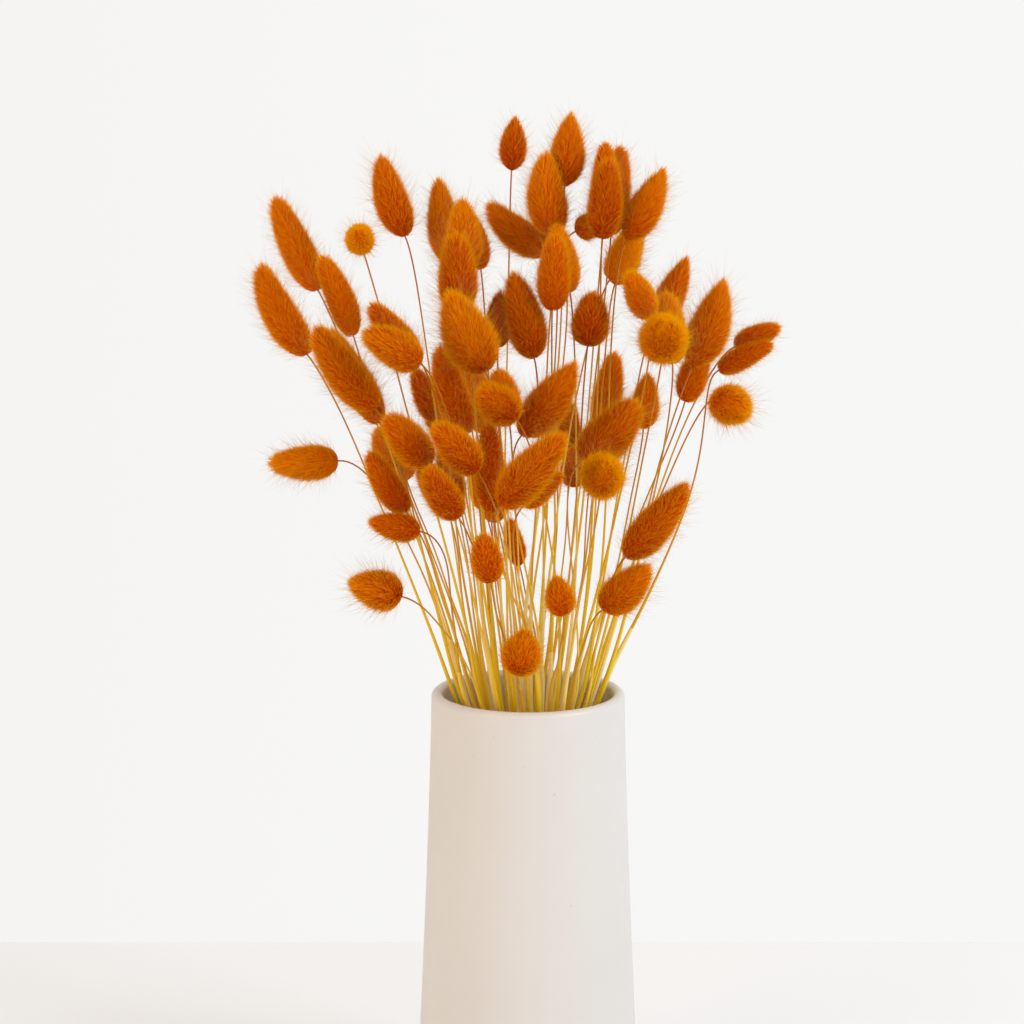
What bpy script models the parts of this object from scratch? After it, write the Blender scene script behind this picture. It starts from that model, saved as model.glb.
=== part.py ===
"""A round off-white vase that holds a bunch of dried bunny tail grass, in metres, +Z up.

The origin is the centre of the vase's flat foot. The bunch is set out as it looks from its front: every
head has its place on an upright plane through the vase's axis, seen by an eye in front of it, and stands
somewhere along that line of sight. The stems come together in the middle of the vase and cross there.
"""

import math

import bmesh
import bpy
import numpy as np
from mathutils import Vector

MM = 0.001

# The vase
VASE_HEIGHT = 240 * MM
RIM_RADIUS = 50 * MM
FOOT_SPREAD = 10 * MM  # how much wider the foot is than the rim
FOOT_CURVE = 1.3  # over 1, the widening is quicker towards the rim
WALL = 6 * MM
FLOOR = 8 * MM
FOOT_BEVEL = 1.5 * MM
VASE_SIDES = 24
WALL_ROWS = 6
LIP_STEPS = 4

# The eye in front of the bunch, from which the heads' places are read
EYE = Vector((-8.3 * MM, -1300 * MM, 560 * MM))

# The stems
STEM_GAP = 0.3 * MM  # between a stem and what it touches
STEM_SIDES = 4
STEM_FOOT_RADIUS = 1.35 * MM
STEM_MOUTH_RADIUS = 1.05 * MM
STEM_TOP_RADIUS = 0.45 * MM
STEM_TAPER = 1.5
MOUTH = VASE_HEIGHT + 3 * MM  # the height up to which a stem is straight
MOUTH_REACH = 41.5 * MM  # the outermost stem at that height
MOUTH_POWER = 0.44  # 0.5 spreads the stems evenly over the mouth, and less packs them at its edge
FOOT_SHARE = 1.12  # a stem's distance from the axis at its foot, as a share of that at the mouth
CROSSING_TURN = math.radians(180 - 23)  # from a stem's mouth round to its foot
GOLDEN_ANGLE = math.radians(137.508)
CURVE_STEPS = 6
MOUTH_PULL = 0.9  # how far a stem keeps its first direction, as a share of its free length
HEAD_PULL = 0.7  # the same for the direction of its head
LONGEST_HEAD_PULL = 70 * MM

# The heads
HEAD_SIDES = 8
HEAD_ROWS = 6
HEAD_BASE_RADIUS = 1.6 * MM
WIDEST_AT = 0.38  # of a head's length, from its base
BLUNT = 0.48  # the power of a sine that rounds a head's outline
OVAL = 0.62
POINTED = 0.76
TUFT_OUT = 1.13
TUFT_IN = 0.84
TUFT_SWEEP = 0.055  # of a head's length, towards its tip
NOD_PER_DEPTH = 0.3  # degrees that a head leans out for each mm that it stands out
MOST_NOD = 22

# What keeps the heads apart
CLEARANCE = 1.0 * MM
SHIFT_STEP = 4 * MM
MOST_SHIFTS = 14
BOW_STEP = 7 * MM
MOST_BOWS = 3
SIDE_BOW_COST = 1.5
COVER_SHARE = 0.6
SAME_DEPTH = 5 * MM
LOW_FIRST = 120 * MM
LEAST_GAIN = 1e-12
HEAD_PROBES = (0.08, 0.25, 0.42, 0.6, 0.78, 0.93)
STEM_PROBES = 24

# Every stalk: its node, how far across and up the base of its head is, how far the head leans to the
# right of upright in degrees, its length as seen, its width, how far behind the axis it stands, the form
# of its outline, and how far its middle bends down to the side it leans to. A head that points at the eye
# has its nod towards it too, in degrees. Lengths are in mm. Heads that have the same node have grown into
# each other.
STALKS = (
    ("bunny_tail_01", -112, 414.5, -26, 52, 17.5, -20, BLUNT, 3),
    ("bunny_tail_02", -106, 447, -25.5, 52, 16, 35, BLUNT, 1),
    ("bunny_tail_03", -88.5, 424, -21.5, 45, 14, -5, BLUNT, -1),
    ("bunny_tail_04", -84, 470, 1, 9, 13.5, -55, POINTED, 0, 75),
    ("bunny_tail_05", -62, 474, -16.5, 43, 17, 15, OVAL, 1.5),
    ("bunny_tail_06", -41, 461, -6, 43, 15.5, 30, OVAL),
    ("bunny_tail_06", -37, 456, -8, 37, 13.5, 40, OVAL, 0, 4),
    ("bunny_tail_07", -31.5, 457, -3, 37, 17, 0, OVAL),
    ("bunny_tail_07", -24, 457.5, -12, 30, 12, 9, BLUNT, -0.5),
    ("bunny_tail_08", -35.5, 436, -0.5, 40, 19, -28, BLUNT),
    ("bunny_tail_09", -22, 406, -23, 44, 25, -52, OVAL, 1),
    ("bunny_tail_10", -55, 410, -58, 33, 18.5, -80, BLUNT, -0.5),
    ("bunny_tail_10", -56.5, 413, -38, 37.5, 14.5, -68, BLUNT, 1),
    ("bunny_tail_11", -78, 387, -34, 52, 19, -45, BLUNT, 2),
    ("bunny_tail_11", -75.5, 379.5, -27.5, 56, 16, -34, BLUNT),
    ("bunny_tail_12", 12, 466.5, -53.5, 41, 16.5, 25, BLUNT, 3.5),
    ("bunny_tail_13", 12.5, 474, -5, 43, 18.5, 0, OVAL, 2),
    ("bunny_tail_13", 18, 499, 5, 37.5, 17, 8, POINTED),
    ("bunny_tail_14", 3, 412.5, -14, 46, 18.5, -19, OVAL),
    ("bunny_tail_14", -15.5, 418, 2.5, 30.5, 13, -15, OVAL),
    ("bunny_tail_15", -8.5, 507, 4, 28, 13, 50, POINTED),
    ("bunny_tail_16", 12, 437, 2.5, 39.5, 16, -28, BLUNT),
    ("bunny_tail_16", 21, 446, -12, 36.5, 13, -18, BLUNT, -0.5),
    ("bunny_tail_17", 37, 473, 4.5, 40.5, 16.5, -11, BLUNT, 0, 7),
    ("bunny_tail_17", 37.5, 480, 1.5, 42.5, 13, 0, BLUNT),
    ("bunny_tail_17", 41.5, 475, 6, 45.5, 14.5, 9, BLUNT),
    ("bunny_tail_17", 23.5, 476.5, 69, 19, 13, 11, OVAL),
    ("bunny_tail_18", 30, 419, 6, 28, 18, -28, BLUNT),
    ("bunny_tail_19", 49.5, 472.5, 27, 41, 17, -4, POINTED, 1),
    ("bunny_tail_20", 41, 452.5, 28, 32, 14.5, 24, BLUNT, 1),
    ("bunny_tail_20", 43.5, 450, 20, 34, 16, 34),
    ("bunny_tail_21", 61, 434, -25, 26.5, 14.5, -30, BLUNT, 0, 35),
    ("bunny_tail_22", 63.5, 428.5, 26, 40, 14.5, 50, POINTED, 1),
    ("bunny_tail_23", 68, 416, -4, 19, 22, -45, POINTED, 0, 58),
    ("bunny_tail_24", 73, 410, -5.5, 37, 16.5, -20, BLUNT),
    ("bunny_tail_25", 83, 408, 19, 48, 19.5, -2, POINTED, 1.5),
    ("bunny_tail_26", 79.5, 390.5, 19.5, 32, 14.5, 14, BLUNT, -0.5),
    ("bunny_tail_27", 104.5, 418.5, 63, 26, 12, 23, BLUNT, 0, 16),
    ("bunny_tail_27", 96.5, 406.5, 61.5, 31.5, 12, 17, BLUNT, -0.5, 16),
    ("bunny_tail_28", 97, 392, 113, 13, 19.5, -50, OVAL, 0, 60),
    ("bunny_tail_29", -46.5, 380.5, -24, 29.5, 13, 45, BLUNT),
    ("bunny_tail_29", -42, 372, -12, 34, 16, 58, OVAL, 0, 14),
    ("bunny_tail_30", -31.5, 374, -15.5, 48.5, 16.5, -25, BLUNT, 1.5),
    ("bunny_tail_31", -28.5, 385.5, -12, 31, 10.5, 75, BLUNT),
    ("bunny_tail_31", -23, 374, -4, 34, 16, 84, OVAL, 0, 0),
    ("bunny_tail_32", -7.5, 382.5, -45, 23.5, 18.5, -70, BLUNT, 0, 35),
    ("bunny_tail_32", -10.5, 384.5, -12, 24.5, 15.5, -60, BLUNT, 0, 25),
    ("bunny_tail_33", -51, 358.5, -38, 34, 18.5, -75, BLUNT),
    ("bunny_tail_34", -68, 358, -24.5, 22, 14.5, 15, BLUNT),
    ("bunny_tail_34", -62, 350, -18, 34, 16, 25),
    ("bunny_tail_35", -62.5, 333.5, -29.5, 38.5, 14.5, -35, BLUNT, 1),
    ("bunny_tail_36", -26.5, 355, -40, 33.5, 18, -90, BLUNT, -0.5),
    ("bunny_tail_37", -36, 331, -28.5, 32, 16.5, -105, BLUNT, 1),
    ("bunny_tail_38", -44, 340, -27, 24.5, 14, -57, BLUNT),
    ("bunny_tail_39", -35.5, 338.5, -18, 31, 12.5, -10, BLUNT),
    ("bunny_tail_40", -19, 333.5, -1, 50, 14.5, -52, BLUNT),
    ("bunny_tail_41", -22, 334.5, -17, 26, 10.5, 75, BLUNT),
    ("bunny_tail_41", -17, 328, -5, 30, 15, 81),
    ("bunny_tail_42", -3.5, 373, 34.5, 48.5, 19.5, -50, POINTED, 1.5),
    ("bunny_tail_43", -14, 337, 39, 51.5, 20, -100),
    ("bunny_tail_43", -2, 337, 45.5, 28.5, 11.5, -95, BLUNT),
    ("bunny_tail_44", 21, 366, 1.5, 24.5, 10.5, 80, BLUNT),
    ("bunny_tail_44", 15, 360, 0, 34, 16, 88),
    ("bunny_tail_45", 37.5, 376, 9.5, 40.5, 14.5, 40, BLUNT),
    ("bunny_tail_46", 28, 361, 41, 40.5, 22, -35, BLUNT, 2),
    ("bunny_tail_47", 58.5, 376.5, 4.5, 29.5, 14, 10, OVAL),
    ("bunny_tail_48", 37.5, 348, 0, 14, 21, -78, OVAL, 0, 60),
    ("bunny_tail_49", 24.5, 346.5, -4.5, 20.5, 14.5, 55, BLUNT),
    ("bunny_tail_49", 31, 346, 4, 34, 16, 65),
    ("bunny_tail_50", 50, 310, 37.5, 51.5, 18, -40, OVAL, 1),
    ("bunny_tail_51", 38.5, 282.5, 43, 35, 18.5, -45, OVAL, 1),
    ("bunny_tail_52", 18, 280, -10.5, 23, 14.5, -68, OVAL),
    ("bunny_tail_53", -5.5, 249, 11, 25, 19.5, -60, OVAL),
    ("bunny_tail_54", -19.5, 297.5, -8, 27.5, 15.5, -96, BLUNT),
    ("bunny_tail_55", -4.5, 305.5, -13.5, 27, 10.5, 40, OVAL),
    ("bunny_tail_56", -97, 360, -92, 36, 17, 0, BLUNT, 0.5),
    ("bunny_tail_57", -55.5, 323.5, -76, 28, 14.5, -50, OVAL),
    ("bunny_tail_58", -65.5, 289.5, -69, 28, 20, -72, OVAL),
)

# Colours, in linear light
OFF_WHITE = (0.80, 0.75, 0.68)
STRAW = (0.62, 0.40, 0.13)
RUST = (0.46, 0.09, 0.005)
FRESH_RUST = (0.52, 0.15, 0.008)
DARK_RUST = (0.24, 0.03, 0.003)


def along_sight(across, up, depth):
    """The point that the eye sees at a place on the upright plane, depth behind that plane."""
    seen = Vector((across, 0, up))
    return EYE + (seen - EYE) * ((depth - EYE.y) / -EYE.y)


def fullness(share, form):
    """How wide a head of a form is at a share of its length, from 0 to 1."""
    skew = math.log(0.5) / math.log(WIDEST_AT)
    return math.sin(math.pi * share**skew) ** form


class Stalk:
    """One stem and its head, which stand at a depth and on a mouth place that can still change."""

    def __init__(self, node, across, up, lean, seen, width, depth, form=OVAL, bend=0, nod=None):
        self.node = node
        self.across = across * MM
        self.up = up * MM
        self.lean = math.radians(lean)
        self.seen = seen * MM
        self.seen_width = width * MM
        self.wish = depth * MM
        self.form = form
        self.seen_bend = math.copysign(bend * MM, bend * self.lean)
        if nod is None:
            nod = max(-MOST_NOD, min(MOST_NOD, -NOD_PER_DEPTH * depth))
        self.nod = math.radians(nod)
        towards_tip = Vector((math.sin(self.lean), math.cos(self.lean)))
        self.seen_middle = Vector((self.across, self.up)) + towards_tip * self.seen / 2
        self.mouth = None
        self.foot = None
        self.place(self.wish)
        self.bow = (0, 0)

    def place(self, depth):
        """Sets the head at a depth behind the upright plane."""
        self.depth = depth
        nearer = (depth - EYE.y) / -EYE.y
        self.base = along_sight(self.across, self.up, depth)
        self.length = self.seen * nearer / math.cos(self.nod)
        self.width = self.seen_width * nearer
        out = math.cos(self.nod)
        self.axis = Vector((math.sin(self.lean) * out, -math.sin(self.nod), math.cos(self.lean) * out))
        self.bend = Vector((math.cos(self.lean), 0, -math.sin(self.lean))) * self.seen_bend * nearer
        self.start = (self.axis * self.length + 4 * self.bend).normalized()

    def head_point(self, share):
        """A point of the bent line through the middle of the head, from its base at 0 to its tip at 1."""
        return self.base + self.axis * self.length * share + self.bend * 4 * share * (1 - share)

    def stem_point(self, share):
        """A point of the free part of the stem, from the vase's mouth at 0 to the head at 1."""
        end = self.base - self.start * STEM_GAP
        reach = (end - self.mouth).length
        start_pull = (self.mouth - self.foot).normalized() * reach * MOUTH_PULL
        end_pull = self.start * min(reach * HEAD_PULL, LONGEST_HEAD_PULL)
        square, cube = share**2, share**3
        point = (2 * cube - 3 * square + 1) * self.mouth + (cube - 2 * square + share) * start_pull
        point += (3 * square - 2 * cube) * end + (cube - square) * end_pull
        swell = (4 * share * (1 - share)) ** 2
        return point + Vector((self.bow[0], self.bow[1], 0)) * swell

    def head_probes(self):
        """Balls that hold the head, as rows of a centre and a radius."""
        rows = []
        for share in HEAD_PROBES:
            radius = max(self.width / 2 * fullness(share, self.form) * TUFT_OUT, HEAD_BASE_RADIUS)
            rows.append((*self.head_point(share), radius))
        return np.array(rows)

    def stem_probes(self):
        """Balls along the free part of the stem."""
        points = [self.stem_point(step / STEM_PROBES) for step in range(STEM_PROBES)]
        return np.array([(*point, STEM_MOUTH_RADIUS) for point in points])


def nearest(probes, others):
    """The smallest gap between two sets of balls."""
    apart = np.linalg.norm(probes[:, None, :3] - others[None, :, :3], axis=2)
    return float((apart - probes[:, None, 3] - others[None, :, 3]).min())


def mouth_places(count):
    """Places spread evenly over the vase's mouth, as the seeds of a sunflower are."""
    places = []
    for index in range(count):
        radius = MOUTH_REACH * ((index + 0.5) / count) ** MOUTH_POWER
        angle = index * GOLDEN_ANGLE
        places.append(Vector((radius * math.cos(angle), radius * math.sin(angle), MOUTH)))
    return places


def share_out_mouth(stalks):
    """Gives each stalk the mouth place nearest below its head, by swapping two while that helps."""
    places = mouth_places(len(stalks))
    wishes = []
    for stalk in stalks:
        rise = (stalk.base.z - MOUTH) / MOUTH
        wish = Vector((stalk.base.x, stalk.base.y)) / (1 + (1 + FOOT_SHARE) * max(rise, 0))
        if wish.length > MOUTH_REACH:
            wish *= MOUTH_REACH / wish.length
        weight = 1 + LOW_FIRST / (stalk.base.z - VASE_HEIGHT)
        wishes.append((wish, weight))

    def cost(stalk_index, place_index):
        wish, weight = wishes[stalk_index]
        return (places[place_index].xy - wish).length_squared * weight

    order = list(range(len(stalks)))
    swapped = True
    while swapped:
        swapped = False
        for a in range(len(order)):
            for b in range(a):
                kept = cost(a, order[a]) + cost(b, order[b])
                if cost(a, order[b]) + cost(b, order[a]) < kept - LEAST_GAIN:
                    order[a], order[b] = order[b], order[a]
                    swapped = True
    turn = complex(math.cos(CROSSING_TURN), math.sin(CROSSING_TURN)) * FOOT_SHARE
    for stalk, index in zip(stalks, order):
        stalk.mouth = places[index]
        foot = complex(stalk.mouth.x, stalk.mouth.y) * turn
        stalk.foot = Vector((foot.real, foot.imag, FLOOR + STEM_GAP))


def keeps_order(stalk, other):
    """Whether two heads that cover each other, seen from the eye, stand in the order that is wished."""
    if abs(stalk.wish - other.wish) < SAME_DEPTH:
        return True
    covered = (stalk.seen_width + other.seen_width) * COVER_SHARE
    if (stalk.seen_middle - other.seen_middle).length > covered:
        return True
    return (stalk.wish < other.wish) == (stalk.depth < other.depth)


def bows():
    """Ways to bow a stem to the side and away from the eye, the slightest first."""
    steps = range(-MOST_BOWS, MOST_BOWS + 1)
    ways = [(side * BOW_STEP, back * BOW_STEP) for side in steps for back in steps]
    return sorted(ways, key=lambda way: abs(way[0]) * SIDE_BOW_COST + abs(way[1]))


def clear_bow(stalk, heads):
    """Bows a stem to pass the heads by, and returns the gap that this leaves."""
    best = (-1, (0, 0))
    for bow in bows():
        stalk.bow = bow
        gap = nearest(stalk.stem_probes(), heads)
        best = max(best, (gap, bow), key=lambda pair: pair[0])
        if gap >= CLEARANCE:
            break
    stalk.bow = best[1]
    return best[0]


def settle(group, placed, shift):
    """Stands a node's heads at their wished depths plus a shift, and returns the least gap left."""
    for stalk in group:
        stalk.place(stalk.wish + shift)
    if not all(keeps_order(stalk, other) for stalk in group for other in placed):
        return -1
    gap = 1
    own = [stalk.head_probes() for stalk in group]
    if placed:
        others = [other.head_probes() for other in placed] + [other.stem_probes() for other in placed]
        gap = nearest(np.concatenate(own), np.concatenate(others))
    for index, stalk in enumerate(group):
        heads = [other.head_probes() for other in placed] + own[:index] + own[index + 1 :]
        if heads and gap > 0:
            gap = min(gap, clear_bow(stalk, np.concatenate(heads)))
    return gap


def spread_apart(stalks):
    """Moves each node's heads along the line of sight, and bows their stems, clear of those before."""
    shifts = [step * SHIFT_STEP for step in range(-MOST_SHIFTS, MOST_SHIFTS + 1)]
    shifts.sort(key=abs)
    groups = {}
    for stalk in stalks:
        groups.setdefault(stalk.node, []).append(stalk)
    placed = []
    for group in groups.values():
        gaps = {}
        for shift in shifts:
            gaps[shift] = settle(group, placed, shift)
            if gaps[shift] >= CLEARANCE:
                break
        settle(group, placed, max(gaps, key=gaps.get))
        placed += group


def plain_material(name, colour, roughness):
    material = bpy.data.materials.new(name)
    material.use_nodes = True
    shader = material.node_tree.nodes["Principled BSDF"]
    shader.inputs["Base Color"].default_value = (*colour, 1)
    shader.inputs["Roughness"].default_value = roughness
    shader.inputs["Metallic"].default_value = 0
    return material


def solid(name, rings):
    """An object whose closed surface runs through rings of points, with both end rings filled."""
    mesh = bmesh.new()
    loops = [[mesh.verts.new(point) for point in ring] for ring in rings]
    for low, high in zip(loops, loops[1:]):
        for i in range(max(len(low), len(high))):
            corners = [low[i % len(low)], low[(i + 1) % len(low)]]
            corners += [high[(i + 1) % len(high)], high[i % len(high)]]
            mesh.faces.new(list(dict.fromkeys(corners)))
    for loop in (loops[0], loops[-1]):
        if len(loop) > 2:
            mesh.faces.new(loop)
    bmesh.ops.recalc_face_normals(mesh, faces=mesh.faces[:])
    bmesh.ops.triangulate(mesh, faces=mesh.faces[:])
    data = bpy.data.meshes.new(name)
    mesh.to_mesh(data)
    mesh.free()
    made = bpy.data.objects.new(name, data)
    bpy.context.collection.objects.link(made)
    return made


def fused(objects, name):
    """One body made of objects that run into each other. The exact solver is slow on this many."""
    first, rest = objects[0], objects[1:]
    first.name = name
    first.data.name = name
    if not rest:
        return first
    repeats = bpy.data.collections.new(name + "_repeats")
    for piece in rest:
        repeats.objects.link(piece)
    union = first.modifiers.new("Union", "BOOLEAN")
    union.operation = "UNION"
    union.operand_type = "COLLECTION"
    union.collection = repeats
    union.solver = "MANIFOLD"
    evaluated = first.evaluated_get(bpy.context.evaluated_depsgraph_get())
    joined = bpy.data.meshes.new_from_object(evaluated)
    first.modifiers.clear()
    first.data = joined
    for piece in rest:
        bpy.data.objects.remove(piece)
    bpy.data.collections.remove(repeats)
    return first


def vase_radius(height):
    """The radius of the vase's outside at a height."""
    return RIM_RADIUS + FOOT_SPREAD * (1 - height / VASE_HEIGHT) ** FOOT_CURVE


def vase_profile():
    """The outline of the vase's wall, from the edge of its foot over the lip to its inner floor."""
    outline = [(vase_radius(0) - FOOT_BEVEL, 0)]
    lip = WALL / 2
    for row in range(WALL_ROWS):
        height = FOOT_BEVEL + (VASE_HEIGHT - lip - FOOT_BEVEL) * row / WALL_ROWS
        outline.append((vase_radius(height), height))
    middle = vase_radius(VASE_HEIGHT - lip) - lip
    for step in range(LIP_STEPS + 1):
        angle = math.pi * step / LIP_STEPS
        outline.append((middle + lip * math.cos(angle), VASE_HEIGHT - lip + lip * math.sin(angle)))
    for row in range(1, WALL_ROWS):
        height = VASE_HEIGHT - lip - (VASE_HEIGHT - lip - FLOOR) * row / (WALL_ROWS - 1)
        outline.append((vase_radius(height) - WALL, height))
    return outline


def make_vase():
    rings = []
    for radius, height in vase_profile():
        angles = [math.tau * side / VASE_SIDES for side in range(VASE_SIDES)]
        rings.append([(radius * math.cos(angle), radius * math.sin(angle), height) for angle in angles])
    vase = solid("vase", rings)
    vase.data.materials.append(plain_material("vase", OFF_WHITE, 0.5))
    vase.data.shade_smooth()
    vase.data.set_sharp_from_angle(angle=math.radians(40))


def make_stem(stalk):
    """A tapered tube, level at its foot, straight up to the vase's mouth and then curved to its head."""
    points = [stalk.foot] + [stalk.stem_point(step / CURVE_STEPS) for step in range(CURVE_STEPS + 1)]
    radii = [STEM_FOOT_RADIUS]
    for step in range(CURVE_STEPS + 1):
        taper = (1 - step / CURVE_STEPS) ** STEM_TAPER
        radii.append(STEM_TOP_RADIUS + (STEM_MOUTH_RADIUS - STEM_TOP_RADIUS) * taper)
    side = Vector((1, 0, 0))
    rings = []
    for index, (point, radius) in enumerate(zip(points, radii)):
        before = points[max(index - 1, 0)]
        after = points[min(index + 1, len(points) - 1)]
        along = stalk.axis if index == len(points) - 1 else (after - before).normalized()
        if index == 0:
            along = Vector((0, 0, 1))
        side = (side - along * side.dot(along)).normalized()
        across = along.cross(side)
        angles = [math.tau * corner / STEM_SIDES for corner in range(STEM_SIDES)]
        rings.append([point + radius * (math.cos(a) * side + math.sin(a) * across) for a in angles])
    return solid("stem", rings)


def make_stems(stalks):
    stems = fused([make_stem(stalk) for stalk in stalks], "stems")
    stems.data.materials.clear()
    stems.data.materials.append(plain_material("stems", STRAW, 0.7))


def make_head(stalk, roll):
    """A pointed egg with a flat base, covered all over in tufts that stand out and sweep to the tip."""
    side = stalk.axis.orthogonal().normalized()
    across = stalk.axis.cross(side)

    def corner(share, radius, number):
        angle = roll + math.tau * number / HEAD_SIDES
        out = radius * (math.cos(angle) * side + math.sin(angle) * across)
        return stalk.head_point(share) + out

    rings = [[corner(0, HEAD_BASE_RADIUS, number) for number in range(HEAD_SIDES)]]
    for row in range(1, HEAD_ROWS + 1):
        share = row / (HEAD_ROWS + 1)
        radius = stalk.width / 2 * fullness(share, stalk.form)
        ring = []
        for number in range(HEAD_SIDES):
            tuft = (row + number) % 2 == 0
            sweep = TUFT_SWEEP if tuft else 0
            ring.append(corner(share + sweep, radius * (TUFT_OUT if tuft else TUFT_IN), number))
        rings.append(ring)
    rings.append([corner(1, 0, 0)])
    return solid("head", rings)


def make_heads(stalks):
    """A node for each head, or for each few that have grown into each other."""
    shades = (RUST, FRESH_RUST, DARK_RUST)
    nodes = {}
    for index, stalk in enumerate(stalks):
        nodes.setdefault(stalk.node, []).append(make_head(stalk, index * GOLDEN_ANGLE))
    for index, (name, heads) in enumerate(nodes.items()):
        tail = fused(heads, name)
        tail.data.materials.clear()
        tail.data.materials.append(plain_material(name, shades[index % len(shades)], 0.9))


def make_stalks():
    """Every stalk in its final place."""
    stalks = [Stalk(*row) for row in STALKS]
    share_out_mouth(stalks)
    spread_apart(stalks)
    return stalks


def main():
    for leftover in list(bpy.data.objects):
        bpy.data.objects.remove(leftover)
    stalks = make_stalks()
    make_vase()
    make_stems(stalks)
    make_heads(stalks)


main()
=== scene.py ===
"""The looks of a vase of dried bunny tail grass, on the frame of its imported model. Metres, +Z up.

Each plain solid is replaced by a finer piece in the same place: the vase by a smooth turned one, the stems
by round tapering ones, and each head by a core that is covered in fur and long fine awns. The stalks are
set out as in the model's own source, so stems and heads stand where the solids do.
"""

import math
from dataclasses import dataclass

import bpy
import numpy as np
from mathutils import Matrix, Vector


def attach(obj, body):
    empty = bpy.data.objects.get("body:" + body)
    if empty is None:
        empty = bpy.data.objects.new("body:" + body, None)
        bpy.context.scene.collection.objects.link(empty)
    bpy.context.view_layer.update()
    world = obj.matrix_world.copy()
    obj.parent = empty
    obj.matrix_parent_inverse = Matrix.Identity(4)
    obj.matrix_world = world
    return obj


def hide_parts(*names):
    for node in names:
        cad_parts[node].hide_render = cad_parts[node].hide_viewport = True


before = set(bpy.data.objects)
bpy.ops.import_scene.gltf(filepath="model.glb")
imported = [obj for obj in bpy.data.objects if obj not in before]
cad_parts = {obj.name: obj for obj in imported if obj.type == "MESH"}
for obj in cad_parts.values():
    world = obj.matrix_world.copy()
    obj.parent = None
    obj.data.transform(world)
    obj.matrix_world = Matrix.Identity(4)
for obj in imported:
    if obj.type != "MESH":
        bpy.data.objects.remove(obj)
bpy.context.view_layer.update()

MM = 0.001
MAP_NAME = "OFBake"  # of each piece's map, over which its colours vary
MIX_FIRST, MIX_SECOND, MIX_RESULT = 6, 7, 2  # the colour sockets of a Mix node

# The vase, as in the model
VASE_HEIGHT = 240 * MM
RIM_RADIUS = 50 * MM
FOOT_SPREAD = 10 * MM  # how much wider the foot is than the rim
FOOT_CURVE = 1.3  # over 1, the widening is quicker towards the foot
WALL = 6 * MM
FLOOR = 8 * MM
FOOT_BEVEL = 1.5 * MM

# Its finer outline
VASE_SIDES = 144
WALL_ROWS = 28
LIP_STEPS = 16
BEVEL_STEPS = 4
INNER_BEVEL = 4 * MM
FOOT_RING = 0.5  # of the foot's radius, where its underside has a ring of points

# The eye in front of the bunch, which is also the camera
EYE = Vector((-8.3 * MM, -1300 * MM, 560 * MM))
LOOKS_DOWN = math.radians(9.88)
PHOTO_WIDTH = 1024  # px
FOCAL_LENGTH = 2579  # px of the photo
SENSOR = 36  # mm
FARTHEST_SEEN = 20  # m

# The stems, as in the model
STEM_GAP = 0.3 * MM  # between a stem and what it touches
STEM_MOUTH_RADIUS = 1.05 * MM
MOUTH = VASE_HEIGHT + 3 * MM  # the height up to which a stem is straight
MOUTH_REACH = 41.5 * MM  # the outermost stem at that height
MOUTH_POWER = 0.44  # 0.5 spreads the stems evenly over the mouth, and less packs them at its edge
FOOT_SHARE = 1.12  # a stem's distance from the axis at its foot, as a share of that at the mouth
CROSSING_TURN = math.radians(180 - 23)  # from a stem's mouth round to its foot
GOLDEN_ANGLE = math.radians(137.508)
MOUTH_PULL = 0.9  # how far a stem keeps its first direction, as a share of its free length
HEAD_PULL = 0.7  # the same for the direction of its head
LONGEST_HEAD_PULL = 70 * MM

# Their finer form
STEM_SEED = 7
STEM_SIDES = 8
STRAIGHT_STEPS = 6
CURVE_STEPS = 30
NEVER_ALONG = (0.3, 1.0, 0.1)  # a direction that no stem takes, from which its sides are counted
STEM_RADII = (0.6 * MM, 1.3 * MM)  # the thinnest and the thickest stem at the mouth
STEM_TOP_RADIUS = 0.42 * MM
STEM_TAPER = 3  # over 1, a stem thins mostly near the mouth
STEM_WANDER = 0.5 * MM
STEM_WAVES = (9, 13)  # radians of its two sideways waves, from the mouth to the head
STEM_INTO_HEAD = 2.5 * MM
STEM_TINTS = (2, 2)  # of a beta distribution, so that most stems are near the middle of their map
STEM_SHADE_ROUND = 0.06  # how far the tint changes round a stem: painted shade, one side paler and the other browner like the lit and shaded sides of a round stem, turned at random
STEM_TINT_RANGE = (0.02, 0.98)
SHEATH_SHARE = 0.35  # of the stems
SHEATH_WALL = 0.3 * MM
SHEATH_REACHES = (0.1, 0.36)  # up from the mouth, as a share of the way to the head
SHEATH_TINTS = (0.02, 0.2)

# The heads, as in the model
HEAD_BASE_RADIUS = 1.6 * MM
WIDEST_AT = 0.38  # of a head's length, from its base
BLUNT = 0.48  # the power of a sine that rounds a head's outline
OVAL = 0.62
POINTED = 0.76
TUFT_OUT = 1.13  # how far the tufts stand out, as a share of a head's radius
NOD_PER_DEPTH = 0.3  # degrees that a head leans out for each mm that it stands out
MOST_NOD = 22

# Their core
CORE_SHARE = 0.84  # of a head's width
CORE_SIDES = 20
CORE_ROWS = 16
LUMPS = ((2, 1, 0.03), (3, 5, 0.02), (5, 9, 0.012))  # waves round it, radians along it, and their height
SLOPE_STEP = 0.004  # of its length, over which its slope is measured
AREA_POINTS = 400
SPIKELET_AREA = 2.7 * MM * MM
SPIKELET_RADIUS = 1.15 * MM

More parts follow.
